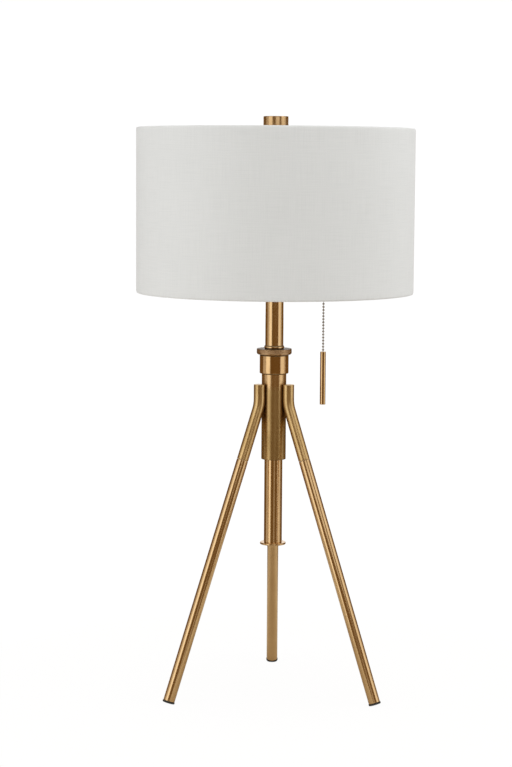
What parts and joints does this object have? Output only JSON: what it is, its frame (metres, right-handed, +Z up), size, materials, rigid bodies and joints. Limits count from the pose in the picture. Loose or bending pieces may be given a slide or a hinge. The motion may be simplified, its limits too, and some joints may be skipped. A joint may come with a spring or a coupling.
{
  "type": "tripod table lamp",
  "caption": "Table lamp with three slanted legs, a height-adjustable sliding column with a knurled lock ring, a drum fabric shade and a pull-chain switch.",
  "frame": {"origin": "on the floor under the column axis, at the middle of the bottom of the bounding box", "axes": "+Z up along the column; the two front legs point towards -Y, the back leg towards +Y, and the pull chain hangs at +X"},
  "size_m": [0.3809, 0.381, 0.7997],
  "materials": {
    "satin_brass": "brushed satin, antique brass",
    "bright_brass": "semi-polished, antique brass",
    "knurled_brass": "knurled rim, dull antique brass",
    "steel": "zinc-plated, satin",
    "chain_steel": "plated bead chain",
    "rubber": "matt black",
    "nylon": "natural nylon",
    "linen": "off-white woven linen",
    "liner": "white lampshade film",
    "fibre": "pressed fibre",
    "phenolic": "black moulded",
    "bulb_cap": "plain aluminium thread",
    "bulb_glass": "frosted white"
  },
  "bodies": {
    "stand": {"collar_tube": "satin_brass", "collar_head": "satin_brass", "guide_bush": "nylon", "leg_bend_left": "satin_brass", "leg_bend_right": "satin_brass", "leg_bend_back": "satin_brass", "leg_stud_left": "steel", "leg_stud_right": "steel", "leg_stud_back": "steel", "leg_rod_left": "bright_brass", "leg_rod_right": "bright_brass", "leg_rod_back": "bright_brass", "foot_cap_left": "rubber", "foot_cap_right": "rubber", "foot_cap_back": "rubber"},
    "collet": {"collet": "bright_brass"},
    "lock_ring": {"lock_ring": "knurled_brass"},
    "column": {"column_tube": "bright_brass", "end_flange": "bright_brass", "cord_bushing": "rubber", "tube_plug": "steel", "riser_pipe": "bright_brass", "riser_nuts": "bright_brass", "hub_plate": "satin_brass", "cluster_hub": "satin_brass", "arm_nipples": "bright_brass", "arm_nuts": "bright_brass", "socket_leads": "rubber", "socket_cap_left": "satin_brass", "socket_cap_right": "satin_brass", "socket_shell_left": "satin_brass", "socket_shell_right": "satin_brass", "fibre_liners": "fibre", "socket_core_left": "phenolic", "socket_core_right": "phenolic", "screw_shell_left": "bright_brass", "screw_shell_right": "bright_brass", "centre_contacts": "bright_brass", "chain_guide": "bright_brass", "lever_pin": "steel", "spider_seat": "bright_brass"},
    "shade": {"shade_fabric": "linen", "shade_liner": "liner", "shade_ring_top": "steel", "shade_ring_bottom": "steel", "spider": "steel"},
    "finial": {"finial": "bright_brass"},
    "bulb_left": {"bulb_base_left": "bulb_cap", "bulb_globe_left": "bulb_glass"},
    "bulb_right": {"bulb_base_right": "bulb_cap", "bulb_globe_right": "bulb_glass"},
    "switch_lever": {"switch_lever": "steel"},
    "switch_link": {"switch_link": "chain_steel"},
    "chain_top": {"chain_top": "chain_steel"},
    "chain_joint": {"chain_joint": "chain_steel"},
    "pull_chain": {"pull_chain": "chain_steel"},
    "bar_bead": {"bar_bead": "chain_steel"},
    "pull_bar": {"pull_bar": "bright_brass"}
  },
  "joints": [
    {"name": "column_turn", "type": "hinge", "parent": "stand", "child": "collet", "pos_m": [0, 0, 0.4736], "axis": [0, 0, 1], "continuous": true},
    {"name": "column_slide", "type": "slide", "parent": "collet", "child": "column", "axis": [0, 0, 1], "range_m": [-0.07, 0.115]},
    {"name": "lock_turn", "type": "hinge", "parent": "stand", "child": "lock_ring", "pos_m": [0, 0, 0.4739], "axis": [0, 0, 1], "range_deg": [0, 270]},
    {"name": "shade_turn", "type": "hinge", "parent": "column", "child": "shade", "pos_m": [0, 0, 0.7679], "axis": [0, 0, 1], "continuous": true},
    {"name": "finial_turn", "type": "hinge", "parent": "column", "child": "finial", "pos_m": [0, 0, 0.7839], "axis": [0, 0, 1], "continuous": true},
    {"name": "bulb_turn_left", "type": "hinge", "parent": "column", "child": "bulb_left", "pos_m": [0, 0, 0.5759], "axis": [-0.7071, 0, 0.7071], "continuous": true},
    {"name": "bulb_turn_right", "type": "hinge", "parent": "column", "child": "bulb_right", "pos_m": [0, 0, 0.5759], "axis": [0.7071, 0, 0.7071], "continuous": true},
    {"name": "chain_pull", "type": "slide", "parent": "column", "child": "chain_top", "axis": [0, 0, -1], "range_m": [0, 0.009], "stiffness_N_per_m": 400, "springref_m": -0.02},
    {"name": "link_pull", "type": "slide", "parent": "column", "child": "switch_link", "axis": [0.7071, 0, -0.7071], "range_m": [0, 0.009]},
    {"name": "lever_turn", "type": "hinge", "parent": "column", "child": "switch_lever", "pos_m": [0.04408, 0, 0.61998], "axis": [0, 1, 0], "range_deg": [0, 53.51]},
    {"name": "chain_sway", "type": "hinge", "parent": "chain_top", "child": "chain_joint", "pos_m": [0.06741, 0, 0.59894], "axis": [1, 0, 0], "range_deg": [-20, 20]},
    {"name": "chain_swing", "type": "hinge", "parent": "chain_joint", "child": "pull_chain", "pos_m": [0.06741, 0, 0.59471], "axis": [0, 1, 0], "range_deg": [-25, 9]},
    {"name": "bar_sway", "type": "hinge", "parent": "pull_chain", "child": "bar_bead", "pos_m": [0.06741, 0, 0.47627], "axis": [1, 0, 0], "range_deg": [-18, 18]},
    {"name": "bar_swing", "type": "hinge", "parent": "bar_bead", "child": "pull_bar", "pos_m": [0.06741, 0, 0.47627], "axis": [0, 1, 0], "range_deg": [-18, 18]}
  ],
  "couplings": [
    {"joint": "link_pull", "follows": "chain_pull", "ratio": 1},
    {"joint": "lever_turn", "follows": "chain_pull", "rad_per_m": 103.73}
  ]
}
